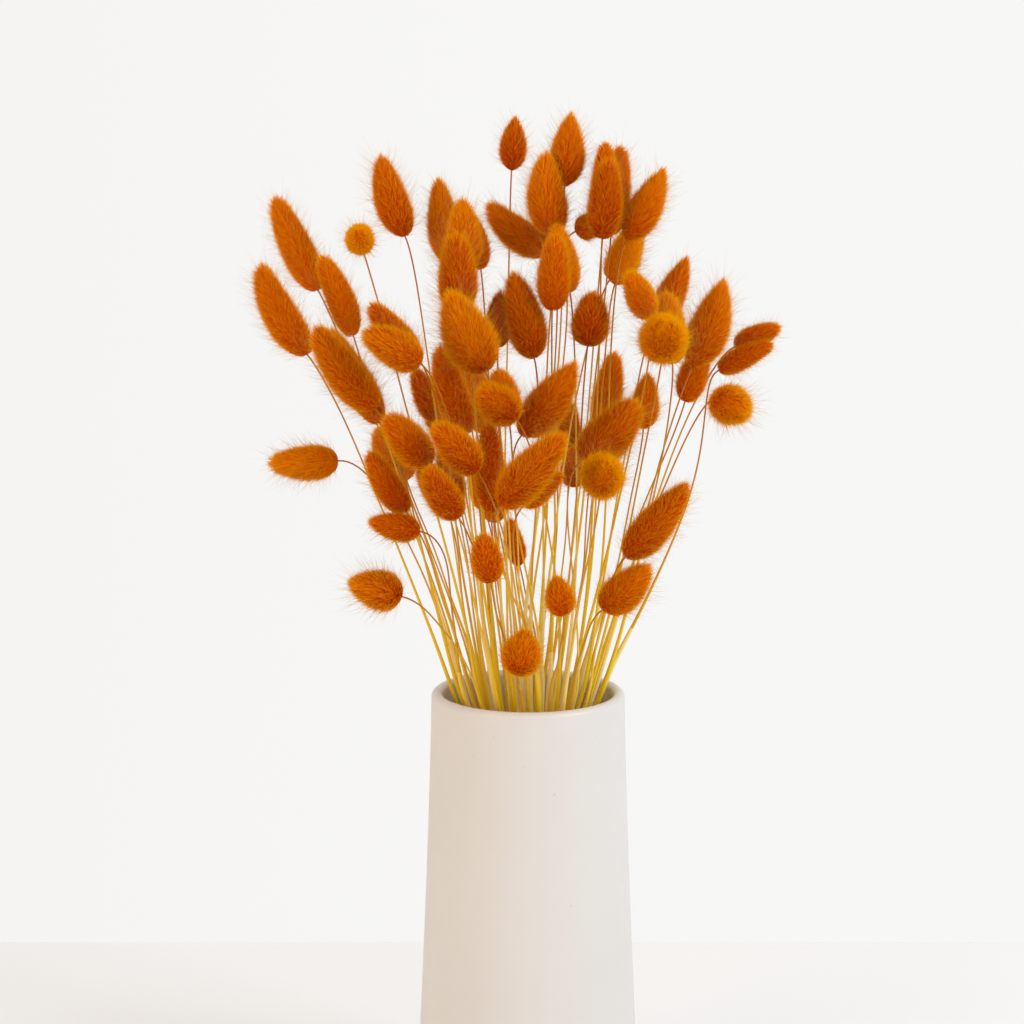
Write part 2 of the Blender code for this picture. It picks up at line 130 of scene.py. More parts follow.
# Their fur
USUAL_WIDTH = 17 * MM  # a head this wide has hairs of the lengths below
TIP_TUFT = 3 * MM  # how far the fur reaches past the core
ROOT_RANGE = (0.004, 0.996)  # of the core's length
LEAST_RADIUS = 1.5 * MM  # keeps the hairs near the ends from going far round the core
LIFT_SPREADS = (3, 7)  # degrees between spikelets, and between the hairs of one
LEAN_SPREADS = (5, 9)
TINT_SPREADS = (0.025, 0.04)
TIP_LIFTS = ((BLUNT, OVAL, POINTED), (70, 54, 32))  # degrees off the core at the tip of a head of each form
TIP_FROM = 0.72  # of the core's length, where the tip begins
TIP_CURVE = 1.5  # over 1, the lift changes mostly near the end
BASE_LEAN = 1.1  # how much the fur at a head's base leans up along it
BASE_LEAN_REACH = 0.08
LEAST_LENGTH = 0.55  # of a hair's usual length, at a head's base
SHORT_REACH = 0.22  # of the core's length, over which the hairs grow to their usual length
HAIR_ROLL = 50  # degrees that a hair is turned about itself at most
HAIR_CURL = 0.12  # of its length
FUR_SEGMENTS = 1


@dataclass
class Coat:
    """One layer of fur."""

    each: int  # hairs to a spikelet
    lengths: tuple
    width: float
    lift: float  # degrees that a hair stands off the core
    clump: float  # how far the tips of a spikelet's hairs draw together
    glow: float  # how much brighter than its tail: partly the hairs' own tone and partly painted light, the outer coat lighter for the glow at the rim and the inner ones darker for the shade within


COATS = (
    Coat(each=5, lengths=(2.0 * MM, 3.0 * MM), width=0.34 * MM, lift=48, clump=0, glow=-0.02),
    Coat(each=9, lengths=(3.2 * MM, 4.6 * MM), width=0.28 * MM, lift=38, clump=0.6, glow=-0.05),
    Coat(each=4, lengths=(3.9 * MM, 5.5 * MM), width=0.3 * MM, lift=48, clump=0.85, glow=0.34),
)

# Their awns
AWN_SHARE = 0.9  # of the spikelets
AWN_WIDTH = 0.16 * MM
AWN_LENGTHS = (7 * MM, 13 * MM)
AWN_ANGLES = (82, 40)  # degrees from the head's axis, at its base and at its tip
AWN_ANGLE_SPREAD = 16
AWN_LEAN_SPREAD = 0.15  # how far to the side an awn leans, as a share of its length
AWN_CURL = (0.2, 0.2)  # the mean and the spread of its curl towards the tip, as a share of its length
AWN_SIDE_CURL = 0.25
AWN_SEGMENTS = 3

# Where a tail's tints lie across its colour map
DARK = 0.14
DEEP = 0.24
RED = 0.32
FIERY = 0.4
RUST = 0.48
WARM = 0.56
GOLDEN = 0.66
BRIGHTEST = 0.8
TINT_RANGE = (0.03, 0.88)
AWN_EDGE = (0.91, 0.92)  # where the fur's colours give way to the awns'
AWN_TINTS = (0.93, 0.99)
TAIL_SPREAD = 0.02  # between tails of one tint
HAIR_BREADTH = 0.004  # to each side of a hair's tint
CORE_BREADTH = 0.01
CORE_HEIGHT = 0.2  # the core's colour is that of a hair at this share of its length, dark like the roots: partly painted shade between the hairs
PAINTED_END_GLOW = 0.07  # painted light: how much brighter the fur's colour is at a head's base and tip, standing in for light there
BASE_GLOW_REACH = 0.16
TIP_GLOW_REACH = 0.12

# The fur's colours, at these shares of a hair's length from its root, and from which tint to which each
# gives way to the next. The dark roots are partly the dye and partly painted shade deep in the fur, and
# the golden tips are partly the dye and partly painted glow of light through the hairs at the rim.
HAIR_SHARES = (0, 0.4, 0.72, 0.95)
DARK_FUR = ((0.24, 0.002, 0.0), (0.42, 0.006, 0.0), (0.62, 0.08, 0.0), (0.78, 0.34, 0.0))
RED_FUR = ((0.44, 0.005, 0.0), (0.70, 0.019, 0.0), (0.85, 0.18, 0.0), (0.93, 0.56, 0.0))
RUST_FUR = ((0.54, 0.009, 0.0), (0.80, 0.047, 0.0), (0.91, 0.30, 0.0), (0.96, 0.70, 0.002))
GOLDEN_FUR = ((0.80, 0.14, 0.0), (0.91, 0.32, 0.0), (0.96, 0.55, 0.0), (0.96, 0.76, 0.008))
FUR_CHANGES = ((DARK, RED, RED_FUR), (RED, RUST, RUST_FUR), (RUST, BRIGHTEST, GOLDEN_FUR))
AWN_SHARES = (0, 0.5, 0.8)
AWN_COLOURS = ((0.80, 0.18, 0.0), (0.68, 0.28, 0.03), (0.32, 0.20, 0.17))

# How light falls on the fur and through it
FUR_FINISH = {
    "Roughness": 0.9,
    "Specular IOR Level": 0.06,
    "Sheen Weight": 0.5,
    "Sheen Roughness": 0.35,
    "Sheen Tint": (1.0, 0.72, 0.0, 1),
}
NORMAL_BLEND = 0.8  # how far a hair is shaded as the core under it, and not as a flat ribbon
SHINE_THROUGH = 0.45  # how much of its light a hair lets through
THROUGH_COLOUR = (1.0, 0.55, 0.0)  # what the light that a hair lets through turns towards
THROUGH_SHARE = 0.7  # how far it does

# The stems' colours, at these shares of a stem's length from its foot, and their changes across the map
STEM_SHARES = (0, 0.5, 0.76, 0.97)
PALE_STEM = ((0.92, 0.78, 0.45), (0.90, 0.77, 0.36), (0.78, 0.50, 0.05), (0.46, 0.16, 0.004))
GOLDEN_STEM = ((0.86, 0.66, 0.05), (0.80, 0.59, 0.02), (0.70, 0.40, 0.004), (0.44, 0.15, 0.001))
BROWN_STEM = ((0.66, 0.45, 0.03), (0.64, 0.39, 0.012), (0.54, 0.24, 0.003), (0.38, 0.10, 0.001))
STEM_CHANGES = ((0.2, 0.5, GOLDEN_STEM), (0.6, 1.0, BROWN_STEM))
STEM_FINISH = {"Roughness": 0.5, "Specular IOR Level": 0.2}

# The vase's glaze. Each noise has its scale in waves a metre and its detail, and then the levels it is
# used between.
MOTTLE_NOISE = (14, 4)
MOTTLE_LEVELS = (0.3, 0.7)
MOTTLE_COLOURS = ((0.615, 0.595, 0.57), (0.64, 0.62, 0.595))
SPECK_NOISE = (420, 1)
SPECK_LEVELS = (0.76, 0.84)
SPECK_COLOUR = (0.52, 0.48, 0.44)
GLOSS_NOISE = (45, 2)
GLOSS_LEVELS = (0.3, 0.7)
GLAZE_ROUGHNESS = (0.36, 0.5)
SKIN_NOISE = (160, 3)
SKIN_STRENGTH = 0.12
SKIN_DEPTH = 0.4 * MM

# The table, whose top is at the vase's foot
TABLE_HALF = 2500 * MM
TABLE_NEAR = -2200 * MM
TABLE_FAR = 295 * MM
TABLE_THICK = 40 * MM
TABLE_NOISE = (3, 2)
TABLE_LEVELS = (0.3, 0.7)
TABLE_COLOURS = ((0.82, 0.825, 0.835), (0.85, 0.855, 0.865))
TABLE_FINISH = {"Roughness": 0.6}

# The room's colours from left to right, and its lights: place, breadth in metres, power in watts, colour
ROOM_SHARES = (0, 0.36, 0.5, 0.62, 1)
ROOM_COLOURS = (
    (0.74, 0.65, 0.55),
    (0.905, 0.895, 0.88),
    (0.93, 0.925, 0.91),
    (0.935, 0.935, 0.93),
    (0.90, 0.92, 0.95),
)
LIGHTS = {
    "window": ((1.5, -0.9, 1.3), 1.0, 16, (0.98, 0.99, 1.0)),
    "lamp": ((-1.6, -1.3, 0.8), 1.2, 12, (1.0, 0.66, 0.36)),
}
LIT_POINT = Vector((0, 0, 0.35))

# What keeps the heads apart, as in the model
CLEARANCE = 1.0 * MM
SHIFT_STEP = 4 * MM  # along the line of sight
MOST_SHIFTS = 14
BOW_STEP = 7 * MM
MOST_BOWS = 3
SIDE_BOW_COST = 1.5  # over 1, a stem rather bows to the front or the back than to a side
COVER_SHARE = 0.6  # of two heads' widths together: nearer than that, one covers the other
SAME_DEPTH = 5 * MM  # two heads wished this close in depth may stand in either order
LOW_FIRST = 120 * MM  # above the vase, where a head counts twice as much as one far up
LEAST_GAIN = 1e-12
HEAD_PROBES = (0.08, 0.25, 0.42, 0.6, 0.78, 0.93)  # of a head's length, where it is tested
STEM_PROBES = 24

# Every stalk, as in the model: its node, how far across and up the base of its head is, how far the head
# leans to the right of upright in degrees, its length as seen, its width, how far behind the axis it
# stands, the form of its outline, and how far its middle bends down to the side it leans to. A head that
# points at the eye has its nod towards it too, in degrees. Lengths are in mm. Heads that have the same
# node have grown into each other.
STALKS = (
    ("bunny_tail_01", -112, 414.5, -26, 52, 17.5, -20, BLUNT, 3),
    ("bunny_tail_02", -106, 447, -25.5, 52, 16, 35, BLUNT, 1),
    ("bunny_tail_03", -88.5, 424, -21.5, 45, 14, -5, BLUNT, -1),
    ("bunny_tail_04", -84, 470, 1, 9, 13.5, -55, POINTED, 0, 75),
    ("bunny_tail_05", -62, 474, -16.5, 43, 17, 15, OVAL, 1.5),
    ("bunny_tail_06", -41, 461, -6, 43, 15.5, 30, OVAL),
    ("bunny_tail_06", -37, 456, -8, 37, 13.5, 40, OVAL, 0, 4),
    ("bunny_tail_07", -31.5, 457, -3, 37, 17, 0, OVAL),
    ("bunny_tail_07", -24, 457.5, -12, 30, 12, 9, BLUNT, -0.5),
    ("bunny_tail_08", -35.5, 436, -0.5, 40, 19, -28, BLUNT),
    ("bunny_tail_09", -22, 406, -23, 44, 25, -52, OVAL, 1),
    ("bunny_tail_10", -55, 410, -58, 33, 18.5, -80, BLUNT, -0.5),
    ("bunny_tail_10", -56.5, 413, -38, 37.5, 14.5, -68, BLUNT, 1),
    ("bunny_tail_11", -78, 387, -34, 52, 19, -45, BLUNT, 2),
    ("bunny_tail_11", -75.5, 379.5, -27.5, 56, 16, -34, BLUNT),
    ("bunny_tail_12", 12, 466.5, -53.5, 41, 16.5, 25, BLUNT, 3.5),
    ("bunny_tail_13", 12.5, 474, -5, 43, 18.5, 0, OVAL, 2),
    ("bunny_tail_13", 18, 499, 5, 37.5, 17, 8, POINTED),
    ("bunny_tail_14", 3, 412.5, -14, 46, 18.5, -19, OVAL),
    ("bunny_tail_14", -15.5, 418, 2.5, 30.5, 13, -15, OVAL),
    ("bunny_tail_15", -8.5, 507, 4, 28, 13, 50, POINTED),
    ("bunny_tail_16", 12, 437, 2.5, 39.5, 16, -28, BLUNT),
    ("bunny_tail_16", 21, 446, -12, 36.5, 13, -18, BLUNT, -0.5),
    ("bunny_tail_17", 37, 473, 4.5, 40.5, 16.5, -11, BLUNT, 0, 7),
    ("bunny_tail_17", 37.5, 480, 1.5, 42.5, 13, 0, BLUNT),
    ("bunny_tail_17", 41.5, 475, 6, 45.5, 14.5, 9, BLUNT),
    ("bunny_tail_17", 23.5, 476.5, 69, 19, 13, 11, OVAL),
    ("bunny_tail_18", 30, 419, 6, 28, 18, -28, BLUNT),
    ("bunny_tail_19", 49.5, 472.5, 27, 41, 17, -4, POINTED, 1),
    ("bunny_tail_20", 41, 452.5, 28, 32, 14.5, 24, BLUNT, 1),
    ("bunny_tail_20", 43.5, 450, 20, 34, 16, 34),
    ("bunny_tail_21", 61, 434, -25, 26.5, 14.5, -30, BLUNT, 0, 35),
    ("bunny_tail_22", 63.5, 428.5, 26, 40, 14.5, 50, POINTED, 1),
    ("bunny_tail_23", 68, 416, -4, 19, 22, -45, POINTED, 0, 58),
    ("bunny_tail_24", 73, 410, -5.5, 37, 16.5, -20, BLUNT),
    ("bunny_tail_25", 83, 408, 19, 48, 19.5, -2, POINTED, 1.5),
    ("bunny_tail_26", 79.5, 390.5, 19.5, 32, 14.5, 14, BLUNT, -0.5),
    ("bunny_tail_27", 104.5, 418.5, 63, 26, 12, 23, BLUNT, 0, 16),
    ("bunny_tail_27", 96.5, 406.5, 61.5, 31.5, 12, 17, BLUNT, -0.5, 16),
    ("bunny_tail_28", 97, 392, 113, 13, 19.5, -50, OVAL, 0, 60),
    ("bunny_tail_29", -46.5, 380.5, -24, 29.5, 13, 45, BLUNT),
    ("bunny_tail_29", -42, 372, -12, 34, 16, 58, OVAL, 0, 14),
    ("bunny_tail_30", -31.5, 374, -15.5, 48.5, 16.5, -25, BLUNT, 1.5),
    ("bunny_tail_31", -28.5, 385.5, -12, 31, 10.5, 75, BLUNT),
    ("bunny_tail_31", -23, 374, -4, 34, 16, 84, OVAL, 0, 0),
    ("bunny_tail_32", -7.5, 382.5, -45, 23.5, 18.5, -70, BLUNT, 0, 35),
    ("bunny_tail_32", -10.5, 384.5, -12, 24.5, 15.5, -60, BLUNT, 0, 25),
    ("bunny_tail_33", -51, 358.5, -38, 34, 18.5, -75, BLUNT),
    ("bunny_tail_34", -68, 358, -24.5, 22, 14.5, 15, BLUNT),
    ("bunny_tail_34", -62, 350, -18, 34, 16, 25),
    ("bunny_tail_35", -62.5, 333.5, -29.5, 38.5, 14.5, -35, BLUNT, 1),
    ("bunny_tail_36", -26.5, 355, -40, 33.5, 18, -90, BLUNT, -0.5),
    ("bunny_tail_37", -36, 331, -28.5, 32, 16.5, -105, BLUNT, 1),
    ("bunny_tail_38", -44, 340, -27, 24.5, 14, -57, BLUNT),
    ("bunny_tail_39", -35.5, 338.5, -18, 31, 12.5, -10, BLUNT),
    ("bunny_tail_40", -19, 333.5, -1, 50, 14.5, -52, BLUNT),
    ("bunny_tail_41", -22, 334.5, -17, 26, 10.5, 75, BLUNT),
    ("bunny_tail_41", -17, 328, -5, 30, 15, 81),
    ("bunny_tail_42", -3.5, 373, 34.5, 48.5, 19.5, -50, POINTED, 1.5),
    ("bunny_tail_43", -14, 337, 39, 51.5, 20, -100),
    ("bunny_tail_43", -2, 337, 45.5, 28.5, 11.5, -95, BLUNT),
    ("bunny_tail_44", 21, 366, 1.5, 24.5, 10.5, 80, BLUNT),
    ("bunny_tail_44", 15, 360, 0, 34, 16, 88),
    ("bunny_tail_45", 37.5, 376, 9.5, 40.5, 14.5, 40, BLUNT),
    ("bunny_tail_46", 28, 361, 41, 40.5, 22, -35, BLUNT, 2),
    ("bunny_tail_47", 58.5, 376.5, 4.5, 29.5, 14, 10, OVAL),
    ("bunny_tail_48", 37.5, 348, 0, 14, 21, -78, OVAL, 0, 60),
    ("bunny_tail_49", 24.5, 346.5, -4.5, 20.5, 14.5, 55, BLUNT),
    ("bunny_tail_49", 31, 346, 4, 34, 16, 65),
    ("bunny_tail_50", 50, 310, 37.5, 51.5, 18, -40, OVAL, 1),
    ("bunny_tail_51", 38.5, 282.5, 43, 35, 18.5, -45, OVAL, 1),
    ("bunny_tail_52", 18, 280, -10.5, 23, 14.5, -68, OVAL),
    ("bunny_tail_53", -5.5, 249, 11, 25, 19.5, -60, OVAL),
    ("bunny_tail_54", -19.5, 297.5, -8, 27.5, 15.5, -96, BLUNT),
    ("bunny_tail_55", -4.5, 305.5, -13.5, 27, 10.5, 40, OVAL),
    ("bunny_tail_56", -97, 360, -92, 36, 17, 0, BLUNT, 0.5),
    ("bunny_tail_57", -55.5, 323.5, -76, 28, 14.5, -50, OVAL),
    ("bunny_tail_58", -65.5, 289.5, -69, 28, 20, -72, OVAL),
)

# The numbers of the tails that are not plain rust, by their tint. Besides the dye, the tints carry
# painted light and shade: the dark and deep ones darken heads that lie in shade inside the bunch, and
# some of the lighter ones brighten heads that others shade.
TINTED = {
    DARK: (29, 39, 49),
    DEEP: (15, 18, 38, 40),
    RED: (5, 8, 22, 37, 46),
    FIERY: (25, 26, 30, 55),
    WARM: (9, 41, 51, 52, 53, 58),
    GOLDEN: (3, 24, 28, 56),
    BRIGHTEST: (4, 20, 21, 23, 48),
}

# The tints of heads that share a node and differ, in the order of the stalks, with painted shade and light as
# above
MIXED = {
    6: (WARM, GOLDEN),
    7: (GOLDEN, WARM),
    10: (WARM, RED),
    13: (RUST, FIERY),
    14: (FIERY, DARK),
    16: (RUST, BRIGHTEST),
    17: (RED, RUST, FIERY, WARM),
    31: (RUST, GOLDEN),
    34: (FIERY, WARM),
    44: (DARK, RUST),
}


def along_sight(across, up, depth):
    """The point that the eye sees at a place on the upright plane, depth behind that plane."""
    seen = Vector((across, 0, up))
    return EYE + (seen - EYE) * ((depth - EYE.y) / -EYE.y)


def fullness(shares, form):
    """How wide a head of a form is at one or more shares of its length, from 0 to 1."""
    skew = math.log(0.5) / math.log(WIDEST_AT)
    return np.sin(math.pi * np.clip(shares, 0, 1) ** skew) ** form


class Stalk:
    """One stem and its head, which stand at a depth and on a mouth place that can still change."""

    def __init__(self, node, across, up, lean, seen, width, depth, form=OVAL, bend=0, nod=None):
        self.node = node
        self.across = across * MM
        self.up = up * MM
        self.lean = math.radians(lean)
        self.seen = seen * MM
        self.seen_width = width * MM
        self.wish = depth * MM
        self.form = form
        self.seen_bend = math.copysign(bend * MM, bend * self.lean)
        if nod is None:
            nod = max(-MOST_NOD, min(MOST_NOD, -NOD_PER_DEPTH * depth))
        self.nod = math.radians(nod)
        towards_tip = Vector((math.sin(self.lean), math.cos(self.lean)))
        self.seen_middle = Vector((self.across, self.up)) + towards_tip * self.seen / 2
        self.mouth = None
        self.foot = None
        self.place(self.wish)
        self.bow = (0, 0)

    def place(self, depth):
        """Sets the head at a depth behind the upright plane."""
        self.depth = depth
        nearer = (depth - EYE.y) / -EYE.y
        self.base = along_sight(self.across, self.up, depth)
        self.length = self.seen * nearer / math.cos(self.nod)
        self.width = self.seen_width * nearer
        out = math.cos(self.nod)
        self.axis = Vector((math.sin(self.lean) * out, -math.sin(self.nod), math.cos(self.lean) * out))
        self.bend = Vector((math.cos(self.lean), 0, -math.sin(self.lean))) * self.seen_bend * nearer
        self.start = (self.axis * self.length + 4 * self.bend).normalized()

    def head_point(self, share):
        """A point of the bent line through the head, from its base at 0 to its tip at 1.

        The line is a parabola: 4 * share * (1 - share) is 1 in its middle.
        """
        return self.base + self.axis * self.length * share + self.bend * 4 * share * (1 - share)

    def stem_point(self, share):
        """A point of the free part of the stem, from the vase's mouth at 0 to the head at 1."""
        end = self.base - self.start * STEM_GAP
        reach = (end - self.mouth).length
        start_pull = (self.mouth - self.foot).normalized() * reach * MOUTH_PULL
        end_pull = self.start * min(reach * HEAD_PULL, LONGEST_HEAD_PULL)
        square, cube = share**2, share**3
        point = (2 * cube - 3 * square + 1) * self.mouth + (cube - 2 * square + share) * start_pull
        point += (3 * square - 2 * cube) * end + (cube - square) * end_pull
        swell = (4 * share * (1 - share)) ** 2
        return point + Vector((self.bow[0], self.bow[1], 0)) * swell

    def head_probes(self):
        """Balls that hold the head, as rows of a centre and a radius."""
        rows = []
        for share in HEAD_PROBES:
            radius = max(self.width / 2 * fullness(share, self.form) * TUFT_OUT, HEAD_BASE_RADIUS)
            rows.append((*self.head_point(share), radius))
        return np.array(rows)

    def stem_probes(self):
        """Balls along the free part of the stem."""
        points = [self.stem_point(step / STEM_PROBES) for step in range(STEM_PROBES)]
        return np.array([(*point, STEM_MOUTH_RADIUS) for point in points])


def nearest(probes, others):
    """The smallest gap between two sets of balls."""
    apart = np.linalg.norm(probes[:, None, :3] - others[None, :, :3], axis=2)
    return float((apart - probes[:, None, 3] - others[None, :, 3]).min())


def mouth_places(count):
    """Places over the vase's mouth like the seeds of a sunflower, a little closer at its edge."""
    places = []
    for index in range(count):
        radius = MOUTH_REACH * ((index + 0.5) / count) ** MOUTH_POWER
        angle = index * GOLDEN_ANGLE
        places.append(Vector((radius * math.cos(angle), radius * math.sin(angle), MOUTH)))
    return places


def share_out_mouth(stalks):
    """Gives each stalk the mouth place nearest below its head, by swapping two while that helps."""
    places = mouth_places(len(stalks))
    wishes = []
    for stalk in stalks:
        rise = (stalk.base.z - MOUTH) / MOUTH
        wish = Vector((stalk.base.x, stalk.base.y)) / (1 + (1 + FOOT_SHARE) * max(rise, 0))
        if wish.length > MOUTH_REACH:
            wish *= MOUTH_REACH / wish.length
        weight = 1 + LOW_FIRST / (stalk.base.z - VASE_HEIGHT)
        wishes.append((wish, weight))

    def cost(stalk_index, place_index):
        wish, weight = wishes[stalk_index]
        return (places[place_index].xy - wish).length_squared * weight

    order = list(range(len(stalks)))
    swapped = True
    while swapped:
        swapped = False
        for a in range(len(order)):
            for b in range(a):
                kept = cost(a, order[a]) + cost(b, order[b])
                if cost(a, order[b]) + cost(b, order[a]) < kept - LEAST_GAIN:
                    order[a], order[b] = order[b], order[a]
                    swapped = True
    turn = complex(math.cos(CROSSING_TURN), math.sin(CROSSING_TURN)) * FOOT_SHARE
    for stalk, index in zip(stalks, order):
        stalk.mouth = places[index]
        foot = complex(stalk.mouth.x, stalk.mouth.y) * turn
        stalk.foot = Vector((foot.real, foot.imag, FLOOR + STEM_GAP))


def keeps_order(stalk, other):
    """Whether two heads that cover each other, seen from the eye, stand in the order that is wished."""
    if abs(stalk.wish - other.wish) < SAME_DEPTH:
        return True
    covered = (stalk.seen_width + other.seen_width) * COVER_SHARE
    if (stalk.seen_middle - other.seen_middle).length > covered:
        return True
    return (stalk.wish < other.wish) == (stalk.depth < other.depth)


def bows():
    """Ways to bow a stem to the side and away from the eye, the slightest first."""
    steps = range(-MOST_BOWS, MOST_BOWS + 1)
    ways = [(side * BOW_STEP, back * BOW_STEP) for side in steps for back in steps]
    return sorted(ways, key=lambda way: abs(way[0]) * SIDE_BOW_COST + abs(way[1]))


def clear_bow(stalk, heads):
    """Bows a stem to pass the heads by, and returns the gap that this leaves."""
    best = (-math.inf, (0, 0))
    for bow in bows():
        stalk.bow = bow
        gap = nearest(stalk.stem_probes(), heads)
        best = max(best, (gap, bow), key=lambda pair: pair[0])
        if gap >= CLEARANCE:
            break
    stalk.bow = best[1]
    return best[0]


def settle(group, placed, shift):
    """Stands a node's heads at their wished depths plus a shift, and returns the least gap left."""
    for stalk in group:
        stalk.place(stalk.wish + shift)
    if not all(keeps_order(stalk, other) for stalk in group for other in placed):
        return -math.inf
    gap = math.inf
    own = [stalk.head_probes() for stalk in group]
    if placed:
        others = [other.head_probes() for other in placed] + [other.stem_probes() for other in placed]
        gap = nearest(np.concatenate(own), np.concatenate(others))
    for index, stalk in enumerate(group):
        heads = [other.head_probes() for other in placed] + own[:index] + own[index + 1 :]
        if heads and gap > 0:
            gap = min(gap, clear_bow(stalk, np.concatenate(heads)))
    return gap


def spread_apart(stalks):
    """Moves each node's heads along the line of sight, and bows their stems, clear of those before."""
    shifts = [step * SHIFT_STEP for step in range(-MOST_SHIFTS, MOST_SHIFTS + 1)]
    shifts.sort(key=abs)
    groups = {}
    for stalk in stalks:
        groups.setdefault(stalk.node, []).append(stalk)
    placed = []
    for group in groups.values():
        gaps = {}
        for shift in shifts:
            gaps[shift] = settle(group, placed, shift)
            if gaps[shift] >= CLEARANCE:
                break
        settle(group, placed, max(gaps, key=gaps.get))
        placed += group


def make_stalks():
    """Every stalk in its final place."""
    stalks = [Stalk(*row) for row in STALKS]
    share_out_mouth(stalks)
    spread_apart(stalks)
    return stalks


def unit(vectors):
    """The same directions, each 1 long."""
    return vectors / np.linalg.norm(vectors, axis=-1, keepdims=True)


class Facets:
    """Triangles gathered for one mesh, with a normal and a map place for each of their points."""

    def __init__(self):
        self.points, self.normals, self.places, self.corners = [], [], [], []
        self.count = 0

    def add(self, points, normals, places, corners):
        """Adds points, and triangles that number their corners among these points."""
        self.points.append(points)
        self.normals.append(normals)
        self.places.append(places)
        self.corners.append(corners + self.count)
        self.count += len(points)

    def add_grid(self, points, normals, places):
        """Adds a surface that runs through rows of points, with two triangles in each of its squares."""
        rows, columns = points.shape[:2]
        numbers = np.arange(rows * columns).reshape(rows, columns)
        a, b = numbers[:-1, :-1].ravel(), numbers[:-1, 1:].ravel()
        c, d = numbers[1:, 1:].ravel(), numbers[1:, :-1].ravel()
        corners = np.concatenate([np.stack([a, b, c], 1), np.stack([a, c, d], 1)])
        self.add(points.reshape(-1, 3), normals.reshape(-1, 3), places.reshape(-1, 2), corners)

    def piece(self, name, material, slot, *nodes):
        """The object of these triangles, which stands for the named solids."""
        points = np.concatenate(self.points).astype(np.float32)
        normals = np.concatenate(self.normals).astype(np.float32)
        places = np.concatenate(self.places).astype(np.float32)
        corners = np.concatenate(self.corners).astype(np.int32)
        mesh = bpy.data.meshes.new(name)
        mesh.vertices.add(len(points))
        mesh.vertices.foreach_set("co", points.ravel())
        mesh.loops.add(corners.size)
        mesh.loops.foreach_set("vertex_index", corners.ravel())
        mesh.polygons.add(len(corners))
        mesh.polygons.foreach_set("loop_start", np.arange(0, corners.size, 3, dtype=np.int32))
        mesh.update(calc_edges=True)
        uv_map = mesh.uv_layers.new(name=MAP_NAME)
        uv_map.data.foreach_set("uv", places[corners.ravel()].ravel())
        mesh.shade_smooth()
        mesh.normals_split_custom_set_from_vertices(normals)
        mesh.materials.append(material)
        made = bpy.data.objects.new(name, mesh)
        bpy.context.collection.objects.link(made)
        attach(made, "root")
        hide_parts(*nodes)
        return made


class Nodes:
    """The nodes of a material or of the world, with short ways to add and link them."""

    def __init__(self, owner, finish, shader="Principled BSDF"):
        owner.use_nodes = True
        self.tree = owner.node_tree
        self.shader = self.tree.nodes[shader]
        for socket, value in finish.items():
            self.shader.inputs[socket].default_value = value

    def add(self, kind, **settings):
        """A new node with these settings."""
        node = self.tree.nodes.new(kind)
        for setting, value in settings.items():
            setattr(node, setting, value)
        return node

    def feed(self, value, socket):
        """Links an output to a socket, or sets the socket to a number or colour."""
        if isinstance(value, bpy.types.NodeSocket):
            self.tree.links.new(value, socket)
        else:
            socket.default_value = value

    def split(self, vector):
        """The first two coordinates of a vector."""
        node = self.add("ShaderNodeSeparateXYZ")
        self.feed(vector, node.inputs[0])
        return node.outputs["X"], node.outputs["Y"]

    def map_place(self):
        """The two coordinates of the piece's own map."""
        return self.split(self.add("ShaderNodeUVMap", uv_map=MAP_NAME).outputs["UV"])

    def ramp(self, factor, shares, colours):
        """A colour that runs through the given ones, each at its share of the way."""
        node = self.add("ShaderNodeValToRGB")
        elements = node.color_ramp.elements
        while len(elements) < len(colours):
            elements.new(1)
        for element, share, colour in zip(elements, shares, colours):
            element.position = share
            element.color = (*colour, 1)
        self.feed(factor, node.inputs["Fac"])
        return node.outputs["Color"]

    def remap(self, value, low, high, new_low=0, new_high=1, steps="SMOOTHSTEP"):
        """A value that goes from new_low to new_high while the given one goes from low to high."""
        node = self.add("ShaderNodeMapRange", interpolation_type=steps)
        self.feed(value, node.inputs["Value"])
        node.inputs["From Min"].default_value = low
        node.inputs["From Max"].default_value = high
        node.inputs["To Min"].default_value = new_low
        node.inputs["To Max"].default_value = new_high
        return node.outputs["Result"]

    def mix(self, factor, first, second):
        """The first colour, turned towards the second by a factor."""
        node = self.add("ShaderNodeMix", data_type="RGBA")
        self.feed(factor, node.inputs["Factor"])
        self.feed(first, node.inputs[MIX_FIRST])
        self.feed(second, node.inputs[MIX_SECOND])
        return node.outputs[MIX_RESULT]

    def across(self, tint, height, shares, first, changes):
        """A ramp up the map that turns into others across it, each from one tint to another."""
        colour = self.ramp(height, shares, first)
        for low, high, colours in changes:
            colour = self.mix(self.remap(tint, low, high), colour, self.ramp(height, shares, colours))
        return colour

    def noise(self, place, scale, detail):
        """A number that varies in soft blobs."""
        node = self.add("ShaderNodeTexNoise")
        self.feed(place, node.inputs["Vector"])
        node.inputs["Scale"].default_value = scale
        node.inputs["Detail"].default_value = detail
        return node.outputs["Fac"]

    def let_through(self, colour, share):
        """Makes a thin surface pass a share of its light on to its other side, in a colour."""
        through = self.add("ShaderNodeBsdfTranslucent")
        self.feed(colour, through.inputs["Color"])
        blend = self.add("ShaderNodeMixShader")
        blend.inputs["Fac"].default_value = share
        self.tree.links.new(self.shader.outputs[0], blend.inputs[1])
        self.tree.links.new(through.outputs[0], blend.inputs[2])
        self.tree.links.new(blend.outputs[0], self.tree.nodes["Material Output"].inputs["Surface"])

    def bump(self, height, strength, distance):
        """Makes the surface look uneven, up to a distance."""
        node = self.add("ShaderNodeBump")
        node.inputs["Strength"].default_value = strength
        node.inputs["Distance"].default_value = distance
        self.feed(height, node.inputs["Height"])
        self.feed(node.outputs["Normal"], self.shader.inputs["Normal"])


